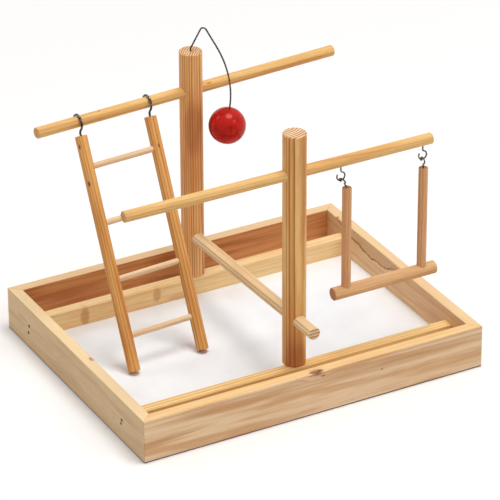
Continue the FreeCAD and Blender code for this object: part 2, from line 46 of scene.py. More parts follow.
def add_node(tree: bpy.types.NodeTree, kind: str, links: dict | None = None, values: dict | None = None,
             **settings: object) -> bpy.types.Node:
    """Adds one node with its settings, its own values and its links.

    Args:
        tree: the node tree that gets the node.
        kind: Blender's name for the node's type, without "ShaderNode".
        links: socket name or number to the output socket that feeds it.
        values: socket name or number to a fixed value.
        settings: properties of the node itself.

    Returns:
        The new node.
    """
    node = tree.nodes.new("ShaderNode" + kind)
    for name, value in settings.items():
        setattr(node, name, value)
    for name, value in (values or {}).items():
        node.inputs[name].default_value = value
    for name, source in (links or {}).items():
        tree.links.new(source, node.inputs[name])
    return node


def new_material(name: str) -> tuple[bpy.types.Material, bpy.types.NodeTree]:
    """Makes an empty node material.

    Args:
        name: the material's name.

    Returns:
        The material and its node tree.
    """
    material = bpy.data.materials.new(name)
    material.use_nodes = True
    material.node_tree.nodes.clear()
    return material, material.node_tree


def set_ramp(node: bpy.types.Node, stops: list[tuple[float, tuple[float, float, float, float]]]) -> None:
    """Gives a colour ramp its stops.

    Args:
        node: a colour ramp node.
        stops: place and colour of each stop, in rising order.
    """
    elements = node.color_ramp.elements
    while len(elements) > 1:
        elements.remove(elements[-1])
    elements[0].position, elements[0].color = stops[0]
    for place, colour in stops[1:]:
        elements.new(place).color = colour


# ---------------------------------------------------------------- finishes

# how dark pine is through one year: pale spring wood, then a summer line that ends sharply
YEAR_OF_GROWTH = ((0.0, 0.1), (0.2, 0.0), (0.5, 0.12), (0.76, 0.55), (0.88, 1.0), (0.95, 0.8), (1.0, 0.1))


class Side(Enum):
    """The left and the right one of a pair."""

    LEFT = "left"
    RIGHT = "right"


@dataclass(frozen=True)
class Mark:
    """A knot, a resin fleck, a filled pore or a stain at one place of a stick.

    Args:
        at: its middle in mm, in the stand's own frame.
        across: its half width across the grain, in mm.
        along: its half length along the grain, in mm.
        colour: the hex colour of its middle.
        share: how strongly it colours the wood, 0 to 1.
        knot: whether the rings part round it.
    """

    at: tuple[float, float, float]
    across: float
    along: float
    colour: str = "5a2d12"
    share: float = 0.85
    knot: bool = False


@dataclass(frozen=True)
class Pine:
    """Planed and oiled pine. Spring wood is pale and wide, summer wood is a thin darker line that ends
    sharply, so long faces show stripes and sawn ends show arcs. A satin oil leaves a soft broad sheen."""

    spring: str                      # hex colour of the wide pale part of each year's growth
    summer: str                      # hex colour of its dark line
    blush: str                       # hex colour of broad warm or brown areas
    blush_share: float = 0.5
    year_mm: float = 3.2             # one year's growth; 2 to 4 mm in fast-grown pine
    heart_mm: tuple[float, float] = (8.0, -40.0)   # the log's heart, across and up from the stick's middle
    runout: tuple[float, float] = (0.8, 0.6)       # degrees between the grain and the stick's length
    wander_mm: float = 2.0           # how far a ring strays from a true circle
    uneven: float = 0.3              # how far a line strays from even spacing, in years
    summer_share: float = 0.8        # how dark the darkest summer lines are
    summer_least: float = 0.3        # the faintest line's share of the darkest
    end: str = "96602f"              # hex colour that a sawn end turns towards
    end_share: float = 0.35          # and how far, 0 to 1
    seed: float = 0.0                # moves the streaks, so that no two sticks match
    marks: tuple[Mark, ...] = ()

    def grain(self, node: bpy.types.Object) -> tuple[Vector, Matrix]:
        """Finds the stick's middle and the directions across, up and along it.

        Args:
            node: the stick's CAD object.

        Returns:
            The middle in metres, and a rotation whose third column runs along the stick.
        """
        points = np.array([v.co for v in node.data.vertices], float)
        middle = (points.min(0) + points.max(0)) / 2
        spread = points - points.mean(0)
        along = Vector(np.linalg.eigh(spread.T @ spread)[1][:, 2])
        if sum(along) < 0:
            along = -along
        upright = along.z > 0.95
        across = Vector((1, 0, 0)) if upright else Vector((0, 0, 1)).cross(along).normalized()
        up = along.cross(across).normalized()
        across = up.cross(along).normalized()
        return Vector(middle), Matrix((across, up, along)).transposed()

    def streaks(self, tree: bpy.types.NodeTree, trunk: bpy.types.NodeSocket, across_mm: float,
                along_mm: float, shift: float, detail: float = 2.0, rough: float = 0.5) -> bpy.types.Node:
        """Adds noise that is drawn out along the trunk.

        Args:
            tree: the material's node tree.
            trunk: millimetres from the log's heart.
            across_mm: width of one streak.
            along_mm: length of one streak.
            shift: keeps one use of it from matching another.
            detail: the noise's octaves.
            rough: the strength of the finer ones.

        Returns:
            The noise node.
        """
        scaled = add_node(tree, "Mapping", {"Vector": trunk},
                          {"Location": (self.seed + shift,) * 3,
                           "Scale": (1 / across_mm, 1 / across_mm, 1 / along_mm)})
        return add_node(tree, "TexNoise", {"Vector": scaled.outputs[0]},
                        {"Scale": 1.0, "Detail": detail, "Roughness": rough})

    def radius(self, tree: bpy.types.NodeTree, trunk: bpy.types.NodeSocket) -> bpy.types.NodeSocket:
        """Measures the way from the log's heart, with the strays of real year rings.

        Args:
            tree: the material's node tree.
            trunk: millimetres from the log's heart.

        Returns:
            The strayed radius in mm.
        """
        # a ring bulges and dips over 26 mm across and 240 mm along the grain
        stray = add_node(tree, "VectorMath", {0: self.streaks(tree, trunk, 26, 240, 1.7).outputs["Color"]},
                         {1: (0.5, 0.5, 0.5)}, operation="SUBTRACT")
        stray = add_node(tree, "VectorMath", {0: stray.outputs[0]},
                         {1: (self.wander_mm * 2, self.wander_mm * 2, 0)}, operation="MULTIPLY")
        ring = add_node(tree, "VectorMath", {0: trunk, 1: stray.outputs[0]}, operation="ADD")
        ring = add_node(tree, "VectorMath", {0: ring.outputs[0]}, {1: (1, 1, 0)}, operation="MULTIPLY")
        radius = add_node(tree, "VectorMath", {0: ring.outputs[0]}, operation="LENGTH").outputs["Value"]
        # wet and dry summers: the lines' spacing changes over 5 mm across and 220 mm along the grain
        weather = self.streaks(tree, trunk, 5, 220, 6.2, 1.0).outputs["Fac"]
        weather = add_node(tree, "MapRange", {"Value": weather},
                           {"From Min": 0.25, "From Max": 0.75, "To Min": -self.uneven * self.year_mm,
                            "To Max": self.uneven * self.year_mm}).outputs[0]
        return add_node(tree, "Math", {0: radius, 1: weather}, operation="ADD").outputs[0]

    def summer_lines(self, tree: bpy.types.NodeTree, radius: bpy.types.NodeSocket) -> bpy.types.NodeSocket:
        """Draws the dark line that ends each year's growth, darker in some years than in others.

        Args:
            tree: the material's node tree.
            radius: the strayed radius in mm.

        Returns:
            How much summer wood there is, 0 to 1.
        """
        years = add_node(tree, "Math", {0: radius}, {1: self.year_mm}, operation="DIVIDE").outputs[0]
        within = add_node(tree, "Math", {0: years}, operation="FRACT").outputs[0]
        line = add_node(tree, "ValToRGB", {"Fac": within})
        set_ramp(line, [(place, (tone, tone, tone, 1)) for place, tone in YEAR_OF_GROWTH])
        good_years = add_node(tree, "TexNoise", {"W": years}, {"Scale": 0.55, "Detail": 0.0},
                              noise_dimensions="1D").outputs["Fac"]
        good_years = add_node(tree, "MapRange", {"Value": good_years},
                              {"From Min": 0.3, "From Max": 0.68,
                               "To Min": self.summer_least * self.summer_share,
                               "To Max": self.summer_share}).outputs[0]
        return add_node(tree, "Math", {0: line.outputs["Color"], 1: good_years},
                        operation="MULTIPLY").outputs[0]

    def reach(self, tree: bpy.types.NodeTree, trunk: bpy.types.NodeSocket, mark: Mark,
              spot: Vector) -> bpy.types.NodeSocket:
        """Measures the way from a mark's middle.

        Args:
            tree: the material's node tree.
            trunk: millimetres from the log's heart.
            mark: the mark.
            spot: its middle, in millimetres from the log's heart.

        Returns:
            The way as a multiple of the mark's own half width and half length.
        """
        apart = add_node(tree, "VectorMath", {0: trunk}, {1: spot}, operation="SUBTRACT")
        apart = add_node(tree, "VectorMath", {0: apart.outputs[0]},
                         {1: (1 / mark.across, 1 / mark.across, 1 / mark.along)}, operation="MULTIPLY")
        return add_node(tree, "VectorMath", {0: apart.outputs[0]}, operation="LENGTH").outputs["Value"]

    def sawn_end(self, tree: bpy.types.NodeTree, place: bpy.types.Node,
                 along: Vector) -> bpy.types.NodeSocket:
        """Tells the two sawn ends from the long faces.

        Args:
            tree: the material's node tree.
            place: the texture coordinate node.
            along: the stick's direction.

        Returns:
            1 on a sawn end and 0 on a long face.
        """
        facing = add_node(tree, "VectorMath", {0: place.outputs["Normal"]}, {1: along},
                          operation="DOT_PRODUCT").outputs["Value"]
        facing = add_node(tree, "Math", {0: facing}, operation="ABSOLUTE").outputs[0]
        return add_node(tree, "MapRange", {"Value": facing}, {"From Min": 0.6, "From Max": 0.95}).outputs[0]

    def material(self, name: str, node: bpy.types.Object) -> bpy.types.Material:
        """Builds the wood of one stick.

        Args:
            name: the material's name.
            node: the CAD object that wears it.

        Returns:
            The finished material.
        """
        middle, turn = self.grain(node)
        tilted = turn @ Euler([math.radians(a) for a in self.runout] + [0]).to_matrix()
        origin = middle + turn @ Vector((*self.heart_mm, 0)) * MM
        material, tree = new_material(name)
        place = add_node(tree, "TexCoord")
        # millimetres from the heart of the log: x and y across it, z up the trunk
        trunk = add_node(tree, "Mapping", {"Vector": place.outputs["Object"]},
                         {"Location": origin, "Rotation": tilted.to_euler(), "Scale": (MM, MM, MM)},
                         vector_type="TEXTURE").outputs[0]
        radius = self.radius(tree, trunk)

        spots = []
        for mark in self.marks:
            spot = tilted.transposed() @ (Vector(mark.at) * MM - origin) / MM
            reach = self.reach(tree, trunk, mark, spot)
            spots.append(add_node(tree, "MapRange", {"Value": reach},
                                  {"From Min": 1.25, "From Max": 0.55, "To Max": mark.share},
                                  interpolation_type="SMOOTHSTEP").outputs[0])
            if mark.knot:
                swell = add_node(tree, "MapRange", {"Value": reach},
                                 {"From Min": 3.2, "From Max": 0.8, "To Max": self.year_mm * 0.7},
                                 interpolation_type="SMOOTHSTEP").outputs[0]
                radius = add_node(tree, "Math", {0: radius, 1: swell}, operation="ADD").outputs[0]

        # a sawn end drinks more oil, so its colour shifts and its lines stand out more
        end = self.sawn_end(tree, place, turn.col[2])
        stronger = add_node(tree, "Math", {0: end}, {1: 0.7, 2: 1.0}, operation="MULTIPLY_ADD").outputs[0]
        summer = add_node(tree, "Math", {0: self.summer_lines(tree, radius), 1: stronger},
                          operation="MULTIPLY", use_clamp=True).outputs[0]
        soaked = add_node(tree, "Math", {0: end}, {1: self.end_share}, operation="MULTIPLY").outputs[0]

        # warm areas, 11 mm wide and 130 mm long
        broad = add_node(tree, "MapRange", {"Value": self.streaks(tree, trunk, 11, 130, 4.1).outputs["Fac"]},
                         {"From Min": 0.42, "From Max": 0.66, "To Max": self.blush_share},
                         interpolation_type="SMOOTHSTEP").outputs[0]
        wood = add_node(tree, "Mix", {0: broad}, {6: linear(self.spring), 7: linear(self.blush)},
                        data_type="RGBA").outputs[2]
        wood = add_node(tree, "Mix", {0: soaked, 6: wood}, {7: linear(self.end)},
                        data_type="RGBA").outputs[2]
        wood = add_node(tree, "Mix", {0: summer, 6: wood}, {7: linear(self.summer)},
                        data_type="RGBA").outputs[2]

        # wood fibres are 0.03 mm wide; drawn 0.8 mm wide and 22 mm long so that they show
        fibre = self.streaks(tree, trunk, 0.8, 22, 9.3, 3.0, 0.6).outputs["Fac"]
        streak = add_node(tree, "MapRange", {"Value": fibre},
                          {"From Min": 0.3, "From Max": 0.7, "To Min": 0.9, "To Max": 1.08}).outputs[0]
        wood = add_node(tree, "VectorMath", {0: wood, 3: streak}, operation="SCALE").outputs[0]
        wood = self.stains_and_painted_light(tree, place, wood)
        for mark, spot in zip(self.marks, spots):
            wood = add_node(tree, "Mix", {0: spot, 6: wood}, {7: linear(mark.colour)},
                            data_type="RGBA").outputs[2]

        # summer wood is harder and stands a little proud after sanding
        relief = add_node(tree, "Math", {0: summer}, {1: 0.6}, operation="MULTIPLY").outputs[0]
        relief = add_node(tree, "Math", {0: relief, 1: fibre}, operation="ADD").outputs[0]
        bump = add_node(tree, "Bump", {"Height": relief}, {"Strength": 0.35, "Distance": 0.00018})
        sheen = add_node(tree, "MapRange", {"Value": fibre},
                         {"From Min": 0.3, "From Max": 0.7, "To Min": 0.6, "To Max": 0.48}).outputs[0]
        shader = add_node(tree, "BsdfPrincipled",
                          {"Base Color": wood, "Roughness": sheen, "Normal": bump.outputs[0]},
                          {"IOR": 1.45, "Specular IOR Level": 0.35})
        add_node(tree, "OutputMaterial", {"Surface": shader.outputs[0]})
        return material

    def stains_and_painted_light(self, tree: bpy.types.NodeTree, place: bpy.types.Node,
                wood: bpy.types.NodeSocket) -> bpy.types.NodeSocket:
        """Gives back the colour as it is; a stick adds its own stains and painted light here.

        Args:
            tree: the material's node tree.
            place: the texture coordinate node.
            wood: the colour so far.

        Returns:
            The colour with the stains.
        """
        return wood


@dataclass(frozen=True)
class TrayPine(Pine):
    """Pine of a tray board: a painted highlight makes its faces that point up more golden,
    and a painted contact shadow darkens its bottom edge."""

    painted_top_highlight: str = "f2d3a0"              # hex colour of the painted highlight on faces that point up
    painted_top_highlight_share: float = 0.3
    painted_contact_shadow_mm: float = 1.2             # height of the painted contact shadow along the bottom edge
    painted_contact_shadow: str = "3a2a1e"

    def stains_and_painted_light(self, tree: bpy.types.NodeTree, place: bpy.types.Node,
                wood: bpy.types.NodeSocket) -> bpy.types.NodeSocket:
        """Paints a highlight on the faces that point up and a contact shadow along the bottom edge.

        Args:
            tree: the material's node tree.
            place: the texture coordinate node.
            wood: the colour so far.

        Returns:
            The colour with the painted highlight and the painted shadow.
        """
        # painted highlight: faces that point up turn lighter and more golden
        up = add_node(tree, "SeparateXYZ", {0: place.outputs["Normal"]}).outputs["Z"]
        painted_top_highlight = add_node(tree, "MapRange", {"Value": up},
                       {"From Min": 0.6, "From Max": 0.9, "To Max": self.painted_top_highlight_share})
        with_painted_highlight = add_node(tree, "Mix", {0: painted_top_highlight.outputs[0], 6: wood}, {7: linear(self.painted_top_highlight)}, data_type="RGBA")
        # painted contact shadow: a dark line along the bottom edge
        high = add_node(tree, "SeparateXYZ", {0: place.outputs["Object"]}).outputs["Z"]
        painted_contact_shadow = add_node(tree, "MapRange", {"Value": high},
                        {"From Min": (self.painted_contact_shadow_mm + 0.3) * MM, "From Max": self.painted_contact_shadow_mm * MM,
                         "To Max": 0.95})
        return add_node(tree, "Mix", {0: painted_contact_shadow.outputs[0], 6: with_painted_highlight.outputs[2]}, {7: linear(self.painted_contact_shadow)},
                        data_type="RGBA").outputs[2]


@dataclass(frozen=True)
class WanyPine(TrayPine):
    """Pine from the outside of the log: its inner top edge still has the log's round surface, with a
    brown line of bark where that surface meets the sawn face."""

    inner_face_x: float = 187.5      # mm; the board's face towards the tray's floor
    middle_y: float = 50.0           # mm; where the round surface reaches down furthest
    low_z: float = 34.0              # mm; how far down that is
    rise: float = 15.0               # mm that the bark line climbs over half_length
    half_length: float = 72.0
    wave_mm: float = 2.2             # how far the bark line strays up and down
    bark: str = "9a5a2c"             # hex colour of the bark line
    weathered: str = "c9a47c"        # hex colour of the round surface above the bark line

    def stains_and_painted_light(self, tree: bpy.types.NodeTree, place: bpy.types.Node,
                wood: bpy.types.NodeSocket) -> bpy.types.NodeSocket:
        """Draws the bark line and the greyer wood above it.

        Args:
            tree: the material's node tree.
            place: the texture coordinate node.
            wood: the colour so far.

        Returns:
            The colour with the bark line.
        """
        wood = super().stains_and_painted_light(tree, place, wood)
        axes = add_node(tree, "SeparateXYZ", {0: place.outputs["Object"]})
        off = add_node(tree, "Math", {0: axes.outputs["Y"]}, {1: self.middle_y * MM},
                       operation="SUBTRACT").outputs[0]
        off = add_node(tree, "Math", {0: off}, {1: self.half_length * MM}, operation="DIVIDE").outputs[0]
        off = add_node(tree, "Math", {0: off, 1: off}, operation="MULTIPLY").outputs[0]
        bark_z = add_node(tree, "Math", {0: off}, {1: self.rise * MM, 2: self.low_z * MM},
                          operation="MULTIPLY_ADD").outputs[0]
        # the line waves over 22 mm, and half its width goes from 0.5 to 1.5 mm within about 3 mm
        wave = add_node(tree, "TexNoise", {"Vector": place.outputs["Object"]},
                        {"Scale": 45.0, "Detail": 2.0}).outputs["Fac"]
        wave = add_node(tree, "MapRange", {"Value": wave},
                        {"From Min": 0.3, "From Max": 0.7, "To Min": -self.wave_mm * MM,
                         "To Max": self.wave_mm * MM})
        bark_z = add_node(tree, "Math", {0: bark_z, 1: wave.outputs[0]}, operation="ADD").outputs[0]
        above = add_node(tree, "Math", {0: axes.outputs["Z"], 1: bark_z}, operation="SUBTRACT").outputs[0]
        inside = add_node(tree, "MapRange", {"Value": axes.outputs["X"]},
                          {"From Min": (self.inner_face_x + 3.5) * MM,
                           "From Max": (self.inner_face_x + 2.0) * MM}).outputs[0]
        ragged = add_node(tree, "TexNoise", {"Vector": place.outputs["Object"]},
                          {"Scale": 350.0, "Detail": 3.0}).outputs["Fac"]
        ragged = add_node(tree, "MapRange", {"Value": ragged},
                          {"From Min": 0.35, "From Max": 0.7, "To Min": 0.5 * MM,
                           "To Max": 1.5 * MM}).outputs[0]
        width = add_node(tree, "Math", {0: above}, operation="ABSOLUTE").outputs[0]
        line = add_node(tree, "Math", {0: width, 1: ragged}, operation="DIVIDE").outputs[0]
        line = add_node(tree, "MapRange", {"Value": line}, {"From Min": 1.3, "From Max": 0.6, "To Max": 0.9},
                        interpolation_type="SMOOTHSTEP").outputs[0]
        line = add_node(tree, "Math", {0: line, 1: inside}, operation="MULTIPLY").outputs[0]
        grey = add_node(tree, "MapRange", {"Value": above}, {"From Max": MM, "To Max": 0.55}).outputs[0]
        grey = add_node(tree, "Math", {0: grey, 1: inside}, operation="MULTIPLY").outputs[0]
        wood = add_node(tree, "Mix", {0: grey, 6: wood}, {7: linear(self.weathered)},
                        data_type="RGBA").outputs[2]
        return add_node(tree, "Mix", {0: line, 6: wood}, {7: linear(self.bark)}, data_type="RGBA").outputs[2]


@dataclass(frozen=True)
class DrawnSteelWire:
    """Drawn steel wire, zinc plated: mid grey with a narrow highlight along its length, and near-black
    patches that are dull zinc and painted dark reflections.
    """

    tone: str = "787571"
    dull_and_painted_reflection: str = "262422"
    roughness: float = 0.2

    def material(self, name: str) -> bpy.types.Material:
        """Builds the metal.

        Args:
            name: the material's name.

        Returns:
            The finished material.
        """
        material, tree = new_material(name)
        place = add_node(tree, "TexCoord").outputs["Object"]
        # the near-black patches, dull zinc darkened as painted reflections, are about 2 mm across
        dull_and_painted_reflection_patch = add_node(tree, "TexNoise", {"Vector": place}, {"Scale": 520.0, "Detail": 2.0}).outputs["Fac"]
        share = add_node(tree, "MapRange", {"Value": dull_and_painted_reflection_patch}, {"From Min": 0.4, "From Max": 0.56})
        tone = add_node(tree, "Mix", {0: share.outputs[0]}, {6: linear(self.tone), 7: linear(self.dull_and_painted_reflection)},
                        data_type="RGBA")
        rough = add_node(tree, "MapRange", {"Value": dull_and_painted_reflection_patch},
                         {"From Min": 0.3, "From Max": 0.7, "To Min": self.roughness - 0.06,
                          "To Max": self.roughness + 0.14}).outputs[0]
        bump = add_node(tree, "Bump", {"Height": dull_and_painted_reflection_patch}, {"Strength": 0.2, "Distance": 0.00005})
        shader = add_node(tree, "BsdfPrincipled",
                          {"Base Color": tone.outputs[2], "Roughness": rough, "Normal": bump.outputs[0]},
                          {"Metallic": 1.0})
        add_node(tree, "OutputMaterial", {"Surface": shader.outputs[0]})
        return material


@dataclass(frozen=True)
class RedLacquer:
    """A turned beech ball dipped in red lacquer: deep even colour under a clear glossy skin that is
    very slightly wavy from dipping."""

    colour: str = "c11a0b"
    deep: str = "a41106"

    def material(self, name: str) -> bpy.types.Material:
        """Builds the lacquer.

        Args:
            name: the material's name.

        Returns:
            The finished material.
        """
        material, tree = new_material(name)
        place = add_node(tree, "TexCoord").outputs["Object"]
        # lacquer pools in soft areas 8 mm across, and orange peel is 0.8 mm
        pool = add_node(tree, "TexNoise", {"Vector": place}, {"Scale": 120.0, "Detail": 1.0}).outputs["Fac"]
        share = add_node(tree, "MapRange", {"Value": pool}, {"From Min": 0.35, "From Max": 0.75})
        colour = add_node(tree, "Mix", {0: share.outputs[0]}, {6: linear(self.colour), 7: linear(self.deep)},
                          data_type="RGBA")
        peel = add_node(tree, "TexNoise", {"Vector": place}, {"Scale": 1200.0, "Detail": 1.0}).outputs["Fac"]
        bump = add_node(tree, "Bump", {"Height": peel}, {"Strength": 0.1, "Distance": 0.00003})
        shader = add_node(tree, "BsdfPrincipled",
                          {"Base Color": colour.outputs[2], "Normal": bump.outputs[0]},
                          {"Roughness": 0.19, "Coat Weight": 0.07, "Coat Roughness": 0.05, "IOR": 1.5,
                           "Specular IOR Level": 0.12})
        add_node(tree, "OutputMaterial", {"Surface": shader.outputs[0]})
        return material


@dataclass(frozen=True)
class WhiteFacedHardboard:
    """Hardboard with a smooth white painted face, and brown pressed fibre on its back and edges."""

    paint: str = "f6f8fa"
    shade: str = "eceef0"
    fibre: str = "7a5230"
    dark_fibre: str = "58371d"

    def material(self, name: str) -> bpy.types.Material:
        """Builds the board.

        Args:
            name: the material's name.

        Returns:
            The finished material.
        """
        material, tree = new_material(name)
        source = add_node(tree, "TexCoord")
        place = source.outputs["Object"]
        # the roller leaves the paint uneven over about 40 mm
        cloud = add_node(tree, "TexNoise", {"Vector": place}, {"Scale": 25.0, "Detail": 2.0}).outputs["Fac"]
        share = add_node(tree, "MapRange", {"Value": cloud},
                         {"From Min": 0.4, "From Max": 0.75, "To Max": 0.8})
        face = add_node(tree, "Mix", {0: share.outputs[0]}, {6: linear(self.paint), 7: linear(self.shade)},
                        data_type="RGBA").outputs[2]
        # pressed fibres, 0.6 mm, in a random felt
        felt = add_node(tree, "TexNoise", {"Vector": place}, {"Scale": 1500.0, "Detail": 4.0}).outputs["Fac"]
        share = add_node(tree, "MapRange", {"Value": felt}, {"From Min": 0.35, "From Max": 0.65})
        back = add_node(tree, "Mix", {0: share.outputs[0]},
                        {6: linear(self.fibre), 7: linear(self.dark_fibre)}, data_type="RGBA").outputs[2]
        up = add_node(tree, "SeparateXYZ", {0: source.outputs["Normal"]}).outputs["Z"]
        painted = add_node(tree, "MapRange", {"Value": up}, {"From Min": 0.4, "From Max": 0.6})
        colour = add_node(tree, "Mix", {0: painted.outputs[0], 6: back, 7: face}, data_type="RGBA").outputs[2]
        rough = add_node(tree, "MapRange", {"Value": painted.outputs[0]}, {"To Min": 0.85, "To Max": 0.42})
        bump = add_node(tree, "Bump", {"Height": felt}, {"Strength": 0.08, "Distance": 0.0001})
        shader = add_node(tree, "BsdfPrincipled",
                          {"Base Color": colour, "Roughness": rough.outputs[0], "Normal": bump.outputs[0]},
                          {"IOR": 1.45, "Specular IOR Level": 0.4})
        add_node(tree, "OutputMaterial", {"Surface": shader.outputs[0]})
        return material


# ---------------------------------------------------------------- the stand's sub-assemblies

STEEL = DrawnSteelWire()


def dress(name: str, material: bpy.types.Material) -> None:
    """Gives a CAD node its material.

    Args:
        name: the node's name.
        material: what it is made of.
    """
    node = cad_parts[name]
    for slot in node.material_slots:
        slot.material = material


def dress_pine(sticks: dict[str, Pine]) -> None:
    """Gives each stick its own wood, cut from its own place in the log.

    Args:
        sticks: node name to its wood.
    """
    for name, wood in sticks.items():
        dress(name, wood.material("oiled_pine." + name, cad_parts[name]))


@dataclass
class Tray:
    """The mitred tray: four boards, two cross rails, the white floor and the nails."""

    front: TrayPine = TrayPine(
        spring="eecca4", summer="bf8550", blush="cf9a66", blush_share=0.75, year_mm=3.7, heart_mm=(28, -8),
        runout=(0.25, 0.2), wander_mm=3.0, summer_share=0.6, seed=3.1, painted_top_highlight="f8cc86", painted_top_highlight_share=0.6,
        marks=(Mark((95, -158.7, 37), 7, 120, "c08c5a", 0.5), Mark((-110, -158.7, 39), 5, 70, "c89260", 0.4),
               # the large knot on the top edge, with its pale heart and bark pockets
               Mark((1.0, -155.8, 48.0), 3.9, 8.6, "673411", 0.95, knot=True),
               Mark((-0.5, -154.6, 49.0), 2.0, 4.6, "b97c44", 0.95),
               Mark((-6.5, -158, 47), 1.0, 4.5, "6e3f1b"),
               Mark((7.5, -158.6, 43.6), 1.0, 3.0, "8a5426"), Mark((77.9, -158.8, 31.4), 0.9, 1.4, "7c4c28")))
    back: TrayPine = TrayPine(
        spring="de9c62", summer="a4602e", blush="b86c3a", blush_share=0.75, year_mm=4.6, heart_mm=(30, -22),
        runout=(0.5, 0.5), wander_mm=4.5, summer_share=0.5, seed=8.4, painted_top_highlight="f6d8a8", painted_top_highlight_share=0.75)
    left: TrayPine = TrayPine(
        spring="dcbc90", summer="c99f6e", blush="c8a278", blush_share=0.6, year_mm=4.4, heart_mm=(-58, 12),
        runout=(0.3, 0.25), wander_mm=3.0, summer_share=0.3, seed=5.2, painted_top_highlight="fadcac", painted_top_highlight_share=0.7,
        marks=(Mark((-200, -91, 17), 0.5, 0.6, "3e220e", 0.95),
               Mark((-200, -91, 20.2), 0.5, 0.7, "3e220e", 0.95),
               Mark((-200, -91, 23.6), 0.5, 0.7, "3e220e", 0.95),
               # painted shade in and round the four sunk nails, two at each rail's end
               Mark((-200, 109.1, 18.2), 2.1, 2.1, "2c190c", 0.95),
               Mark((-200, 107.1, 27.2), 2.1, 2.4, "2c190c", 0.95),
               Mark((-200, -107.1, 20.2), 1.9, 2.2, "3c2412", 0.9),
               Mark((-200, -109.1, 25.2), 1.9, 2.6, "3c2412", 0.9),
               # pores on the face, and a small knot on the top edge
               Mark((-200, 32.8, 27.2), 0.8, 1.2, "7c5634", 0.7),
               Mark((-200, -60.3, 29.4), 0.7, 1.1, "7c5634", 0.7),
               Mark((-200, -25.7, 27), 0.7, 1.0, "7c5634", 0.7),
               Mark((-200, -38, 33), 0.6, 0.9, "8a6040", 0.6),
               Mark((-200, 132, 39), 0.9, 1.3, "7c4e2c", 0.6), Mark((-200, 122, 30), 1.4, 12, "a5835c", 0.5),
               Mark((-189.5, -20.5, 48.8), 2.4, 4.6, "b8713f", 0.8)))
    right: WanyPine = WanyPine(
        spring="e8c294", summer="cd9862", blush="d8a878", blush_share=0.6, year_mm=3.8, heart_mm=(46, -30),
        runout=(0.4, 0.3), wander_mm=2.2, summer_share=0.4, seed=1.9, painted_top_highlight="f8d7a4", painted_top_highlight_share=0.5,
        marks=(Mark((187.8, 87.2, 48.2), 1.2, 1.8, "4b2710"),))
    rear_rail: Pine = Pine(
        spring="fadaa2", summer="dca664", blush="eebc7e", blush_share=0.6, year_mm=3.6, heart_mm=(30, -26),
        runout=(0.3, 0.4), wander_mm=2.4, summer_share=0.45, seed=6.6,
        # the first two marks are painted shadows that the ladder's two rails cast on this rail's front face
        marks=(Mark((-134.8, 105.1, 22), 12, 5.5, "b8783c", 0.6),
               Mark((-47.9, 105.1, 25), 9, 5, "b8783c", 0.5),
               Mark((-20, 105.1, 16), 4, 16, "cc9352", 0.4)))
    front_rail: Pine = Pine(
        spring="f8d492", summer="cc8840", blush="eeba74", blush_share=0.6, year_mm=3.9, heart_mm=(40, -20),
        runout=(0.2, 0.2), wander_mm=1.2, uneven=0.15, summer_share=0.75, summer_least=0.6, seed=2.8)
    floor: WhiteFacedHardboard = WhiteFacedHardboard()

    def build(self) -> None:
        """Dresses the boards, the rails, the floor and the nails."""
        dress_pine({"front_board": self.front, "back_board": self.back, "left_board": self.left,
                    "right_board": self.right, "rear_cross_rail": self.rear_rail,
                    "front_cross_rail": self.front_rail})
        dress("base_panel", self.floor.material("white_faced_hardboard"))
        # painted shade: the sunk nail heads are dark brown to stand for the shade in their holes
        nails = DrawnSteelWire("3b322a", "241d18", 0.7).material("steel_nails_with_painted_hole_shade")
        dress("cross_rail_nails", nails)
        dress("corner_v_nails", nails)


@dataclass
class Stand:
    """The two posts, the perches through them and the screws that hold the posts."""

    front_post: Pine = Pine(
        spring="f8c67c", summer="96460f", blush="de9348", blush_share=0.6, year_mm=3.3,
        heart_mm=(-9.15, 31.4), runout=(0.12, 0.1), wander_mm=0.3, uneven=0.07, summer_share=1.0,
        summer_least=0.7, end="ead6ba", end_share=0.6, seed=4.4,
        marks=(Mark((-1, -116, 22), 16, 56, "ac4c1a", 0.6), Mark((-7, -116, 120), 7, 80, "b86a2c", 0.4)))
    rear_post: Pine = Pine(
        spring="f6ba76", summer="9a4c12", blush="d48642", blush_share=0.6, year_mm=2.5, heart_mm=(52, -52),
        runout=(0.12, 0.15), wander_mm=0.5, uneven=0.2, summer_share=0.95, summer_least=0.6,
        end="dcc4a4", end_share=0.55, seed=7.7, marks=(Mark((-2, 104, 214), 12, 34, "a85c30", 0.45),))
    front_perch: Pine = Pine(
        spring="e8bb76", summer="b87034", blush="d2944a", blush_share=0.7, year_mm=2.8, heart_mm=(4, -24),
        runout=(0.4, 0.3), wander_mm=1.4, summer_share=0.75, summer_least=0.4, end="a87444", end_share=0.3,
        seed=2.2)
    rear_perch: Pine = Pine(
        spring="e8ba74", summer="bc7434", blush="d49248", blush_share=0.7, year_mm=3.4, heart_mm=(4, -26),
        runout=(0.4, 0.3), wander_mm=1.4, summer_share=0.65, summer_least=0.4, end="b08250", end_share=0.3,
        seed=9.1, marks=(Mark((-110.5, 107.7, 260.2), 0.8, 1.3, "7a4a1e"),
                         Mark((22.5, 113.2, 258.7), 0.9, 3.2, "9c5a24", 0.75)))
    low_perch: Pine = Pine(
        spring="f6d8a8", summer="8e4a1e", blush="ecbe88", blush_share=0.5, year_mm=3.5, heart_mm=(2, -90),
        runout=(0.1, 0.1), wander_mm=0.3, uneven=0.06, summer_share=0.8, summer_least=0.75,
        end="dcae84", end_share=0.5, seed=5.9)

    def build(self) -> None:
        """Dresses the posts, the perches and the screws."""
        dress_pine({"front_post": self.front_post, "rear_post": self.rear_post,
                    "front_perch": self.front_perch, "rear_perch": self.rear_perch,
                    "low_perch": self.low_perch})
        dress("post_screws", STEEL.material("zinc_plated_wood_screws"))


